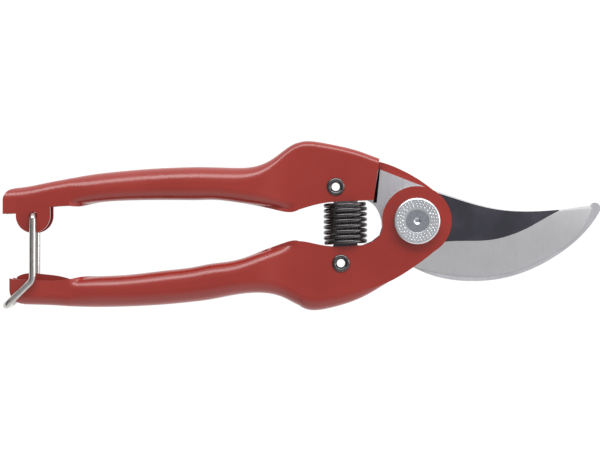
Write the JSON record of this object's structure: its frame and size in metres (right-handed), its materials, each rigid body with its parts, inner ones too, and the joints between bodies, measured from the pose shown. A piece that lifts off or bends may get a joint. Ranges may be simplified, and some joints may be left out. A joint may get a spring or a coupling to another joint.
{
  "type": "pruning shears",
  "caption": "One-hand bypass pruning shears with pressed-steel handles, a hooked counter blade, a return spring and a wire latch bail.",
  "frame": {"origin": "centre of the pivot bolt's rear end, the lowest face of the shears lying on their back", "axes": "+X along the shears to the blade tips, +Y to the upper handle, +Z along the pivot to the bolt head"},
  "size_m": [0.1955, 0.0555, 0.0204],
  "materials": {
    "red_paint": "glossy red stove enamel",
    "blade_steel": "black oxide with a ground bevel",
    "bright_steel": "bright rolled steel with a ground edge",
    "zinc": "bright zinc plate",
    "dark_steel": "dark oiled steel",
    "plated_wire": "bright nickel plate"
  },
  "bodies": {
    "upper": {"upper_handle": "red_paint", "counter_blade": "bright_steel", "upper_rivet": "dark_steel", "upper_rivet_spacer": "dark_steel", "return_spring": "dark_steel"},
    "lower": {"lower_handle": "red_paint", "cutting_blade": "blade_steel", "lower_rivet": "dark_steel", "lower_rivet_spacer": "dark_steel", "pivot_bolt": "zinc", "pivot_washer": "zinc", "pivot_lock_washer": "zinc", "pivot_nut": "zinc"},
    "latch": {"latch_bail": "plated_wire"}
  },
  "joints": [
    {"name": "handle_pivot", "type": "hinge", "parent": "upper", "child": "lower", "pos_m": [0, 0, 0.01038], "axis": [0, 0, 1], "range_deg": [0, 27.5], "deforming": ["return_spring"]},
    {"name": "latch_swing", "type": "hinge", "parent": "upper", "child": "latch", "pos_m": [-0.1252, 0.0017, 0.01038], "axis": [0, 0, 1], "range_deg": [-165, 17]}
  ]
}
